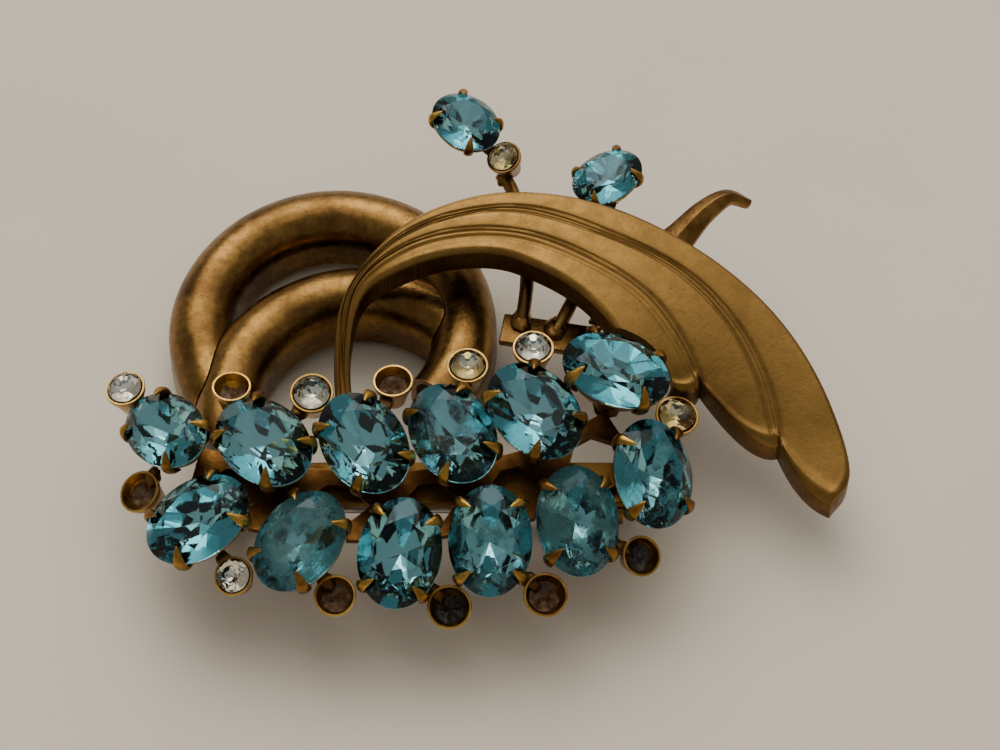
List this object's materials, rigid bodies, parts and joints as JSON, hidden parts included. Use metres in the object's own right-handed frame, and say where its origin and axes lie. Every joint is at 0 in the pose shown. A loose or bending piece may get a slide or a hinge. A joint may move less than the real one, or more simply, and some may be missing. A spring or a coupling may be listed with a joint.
{
  "type": "brooch",
  "caption": "Costume brooch: oval aqua stones in claw settings, brass loops and a lobed plume, with a hinged pin and safety catch behind.",
  "frame": {"origin": "centre of the bounding box in plan, on the surface the brooch lies on, face up", "axes": "+Z out of the brooch's face, +Y towards the stem heads, +X towards the plume's tip"},
  "size_m": [0.0784, 0.0608, 0.0186],
  "materials": {
    "aqua_glass": "foil-backed, polished facets",
    "clear_glass": "foil-backed, polished facets",
    "setting_brass": "worn gilt, bright rims",
    "gilt_brass": "dull antique gilt with patina",
    "back_brass": "dull, tarnished in the corners",
    "pin_steel": "satin wire"
  },
  "bodies": {
    "brooch": {"stone_rear_1": "aqua_glass", "setting_rear_1": "setting_brass", "stone_rear_2": "aqua_glass", "setting_rear_2": "setting_brass", "stone_rear_3": "aqua_glass", "setting_rear_3": "setting_brass", "stone_rear_4": "aqua_glass", "setting_rear_4": "setting_brass", "stone_rear_5": "aqua_glass", "setting_rear_5": "setting_brass", "stone_rear_6": "aqua_glass", "setting_rear_6": "setting_brass", "stone_front_1": "aqua_glass", "setting_front_1": "setting_brass", "stone_front_2": "aqua_glass", "setting_front_2": "setting_brass", "stone_front_3": "aqua_glass", "setting_front_3": "setting_brass", "stone_front_4": "aqua_glass", "setting_front_4": "setting_brass", "stone_front_5": "aqua_glass", "setting_front_5": "setting_brass", "stone_front_6": "aqua_glass", "setting_front_6": "setting_brass", "stone_head_left": "aqua_glass", "setting_head_left": "setting_brass", "stone_head_right": "aqua_glass", "setting_head_right": "setting_brass", "cup_1": "setting_brass", "chaton_1": "clear_glass", "cup_2": "setting_brass", "cup_3": "setting_brass", "chaton_3": "clear_glass", "cup_4": "setting_brass", "cup_5": "setting_brass", "chaton_5": "clear_glass", "cup_6": "setting_brass", "chaton_6": "clear_glass", "cup_7": "setting_brass", "chaton_7": "clear_glass", "cup_8": "setting_brass", "cup_9": "setting_brass", "cup_10": "setting_brass", "cup_11": "setting_brass", "cup_12": "setting_brass", "chaton_12": "clear_glass", "cup_13": "setting_brass", "chaton_stem": "clear_glass", "outer_loop": "gilt_brass", "inner_loop": "gilt_brass", "plume": "gilt_brass", "small_leaf": "gilt_brass", "stem_bracket": "gilt_brass", "base_plate": "back_brass", "pin_bar": "back_brass", "hinge_block": "back_brass", "hinge_rivet": "back_brass", "catch_body": "back_brass"},
    "pin_stem": {"pin_stem": "pin_steel"},
    "catch_roller": {"catch_roller": "back_brass"}
  },
  "joints": [
    {"name": "pin_hinge", "type": "hinge", "parent": "brooch", "child": "pin_stem", "pos_m": [-0.0258, -0.01362, 0.00175], "axis": [0, 1, 0], "range_deg": [0, 80]},
    {"name": "catch_turn", "type": "hinge", "parent": "brooch", "child": "catch_roller", "pos_m": [0.0136, -0.01362, 0.00175], "axis": [-1, 0, 0], "range_deg": [0, 180]}
  ]
}
